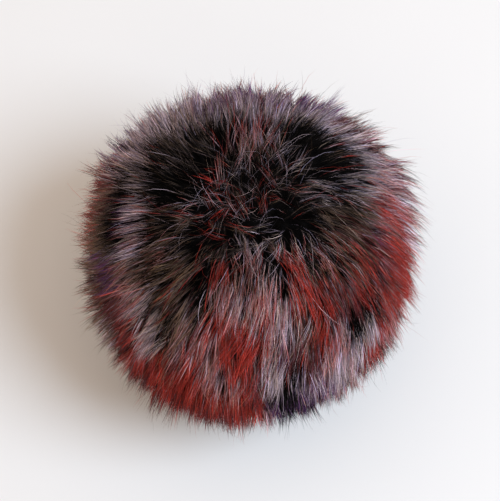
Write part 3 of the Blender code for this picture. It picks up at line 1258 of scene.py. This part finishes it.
class POMPOM_OT_stray_hairs(bpy.types.Operator):
    """Grow single strands that leave the nap, a third of them where they cross at the crown"""

    bl_idname = "pompom.stray_hairs"
    bl_label = "Stray hairs"

    def execute(self, context):
        shape, fur = settings(context)
        chance = np.random.default_rng((fur.seed, STRAY_SEED))
        ways = spread_ways(fur.stray_strands, chance, STRAY_MESS)
        ways[::CROWN_EVERY] = crown_ways(len(ways[::CROWN_EVERY]), chance)
        turn, lean, curl, longer = varied(OF_STRAY, len(ways), chance)
        guides = comb(ways, (turn, lean, curl, longer + STRAY_LONGER), shape, chance)
        itself = np.arange(len(ways))
        shares = np.array([ring.along for ring in STRAY_RINGS] + [1.0])
        places = along_guides(guides, itself, np.tile(shares, (len(ways), 1)))
        place_strands(
            "stray_hairs", places, guides, itself, STRAY_RINGS, chance, STRAY_WIDTH, STRAY_DYES
        )
        return {"FINISHED"}


def crown_ways(count, chance):
    """Directions near the crown."""
    apart = CROWN_REACH * np.sqrt(chance.random(count))
    turn = chance.uniform(0, math.tau, count)
    return np.stack(
        (np.sin(apart) * np.cos(turn), np.sin(apart) * np.sin(turn), np.cos(apart)), axis=1
    )


FLOOR_WIDTH = 6.0


class POMPOM_OT_stage(bpy.types.Operator):
    """Set up the pale floor, the soft daylight and the camera"""

    bl_idname = "pompom.stage"
    bl_label = "Stage"

    def execute(self, context):
        stage = context.scene.pompom_stage
        bpy.ops.mesh.primitive_plane_add(size=FLOOR_WIDTH)
        floor = context.active_object
        floor.name = "floor"
        floor.data.materials.append(floor_finish(tuple(stage.floor)))
        add_daylight(context, stage)
        add_camera(context, stage)
        context.scene.view_settings.view_transform = "Standard"
        return {"FINISHED"}


DAYLIGHT_WAY = (0.62, -0.22, 0.75)
DAYLIGHT_DISTANCE = 1.8
DAYLIGHT_SIZE = 1.07
DAYLIGHT_COLOUR = (0.70, 0.85, 1.0)
ROOM_COLOUR = (1.0, 0.845, 0.715)


def add_daylight(context, stage):
    """A large soft light from the right and a little in front, and warmer light from all round."""
    light = bpy.data.lights.new("daylight", "AREA")
    light.shape = "DISK"
    light.size = DAYLIGHT_SIZE
    light.energy = stage.daylight
    light.color = DAYLIGHT_COLOUR
    lamp = bpy.data.objects.new("daylight", light)
    way = Vector(DAYLIGHT_WAY).normalized()
    lamp.location = way * DAYLIGHT_DISTANCE
    lamp.rotation_euler = way.to_track_quat("Z", "Y").to_euler()
    context.scene.collection.objects.link(lamp)
    world = bpy.data.worlds.new("room")
    world.use_nodes = True
    background = world.node_tree.nodes["Background"]
    background.inputs["Color"].default_value = (*ROOM_COLOUR, 1.0)
    background.inputs["Strength"].default_value = stage.room
    context.scene.world = world


SENSOR_WIDTH = 36.0
FRAME_WIDTH = 501  # the longer side of the frame, in pixels
FRAME_MIDDLE = (250.0, 250.5)
BALL_MIDDLE = (252.0, 255.0)  # where the ball's centre stands in the frame
BALL_REACH = 177.0  # from there to the tips, in pixels
LOOK_OVER = 1.0 * MM  # the camera looks this far over the cloth ball's centre


def add_camera(context, stage):
    """Looks down on the front of the ball, which fills seven tenths of the frame."""
    shape = context.scene.pompom_shape
    centre = Vector((0, 0, shape.centre_height + LOOK_OVER))
    back = Vector((0, -math.cos(stage.elevation), math.sin(stage.elevation)))
    right = Vector((1, 0, 0))
    upward = back.cross(right)
    focal = BALL_REACH / math.tan(math.asin(HALF_WIDTH / stage.distance))
    shift_right = (FRAME_MIDDLE[0] - BALL_MIDDLE[0]) / focal * stage.distance
    shift_up = (BALL_MIDDLE[1] - FRAME_MIDDLE[1]) / focal * stage.distance
    aim = centre + right * shift_right + upward * shift_up
    camera = bpy.data.objects.new("camera", bpy.data.cameras.new("camera"))
    camera.data.sensor_width = SENSOR_WIDTH
    camera.data.lens = focal * SENSOR_WIDTH / FRAME_WIDTH
    camera.data.clip_start = 0.01
    camera.location = aim + back * stage.distance
    camera.rotation_euler = back.to_track_quat("Z", "Y").to_euler()
    context.scene.collection.objects.link(camera)
    context.scene.camera = camera


class POMPOM_PT_maker(bpy.types.Panel):
    """Sidebar panel that lists the steps and the sizes"""

    bl_idname = "POMPOM_PT_maker"
    bl_label = "Pom pom"
    bl_space_type = "VIEW_3D"
    bl_region_type = "UI"
    bl_category = "Pom pom"

    def draw(self, context):
        scene = context.scene
        for operator in STEPS:
            self.layout.operator(operator.bl_idname)
        for group in (scene.pompom_shape, scene.pompom_fur, scene.pompom_dyes, scene.pompom_stage):
            column = self.layout.box().column()
            for name in group.__annotations__:
                column.prop(group, name)


STEPS = (
    POMPOM_OT_stuffed_core,
    POMPOM_OT_short_fur,
    POMPOM_OT_long_fur,
    POMPOM_OT_stray_hairs,
    POMPOM_OT_stage,
)
GROUPS = {
    "pompom_shape": PomPomShape,
    "pompom_fur": PomPomFur,
    "pompom_dyes": PomPomDyes,
    "pompom_stage": PomPomStage,
}


def register():
    for kind in (*GROUPS.values(), *STEPS, POMPOM_PT_maker):
        bpy.utils.register_class(kind)
    for name, kind in GROUPS.items():
        setattr(bpy.types.Scene, name, bpy.props.PointerProperty(type=kind))


def unregister():
    for name in GROUPS:
        delattr(bpy.types.Scene, name)
    for kind in reversed((*GROUPS.values(), *STEPS, POMPOM_PT_maker)):
        bpy.utils.unregister_class(kind)


def main():
    register()
    bpy.ops.pompom.stuffed_core()
    bpy.ops.pompom.short_fur()
    bpy.ops.pompom.long_fur()
    bpy.ops.pompom.stray_hairs()
    bpy.ops.pompom.stage()


if __name__ == "__main__":
    main()
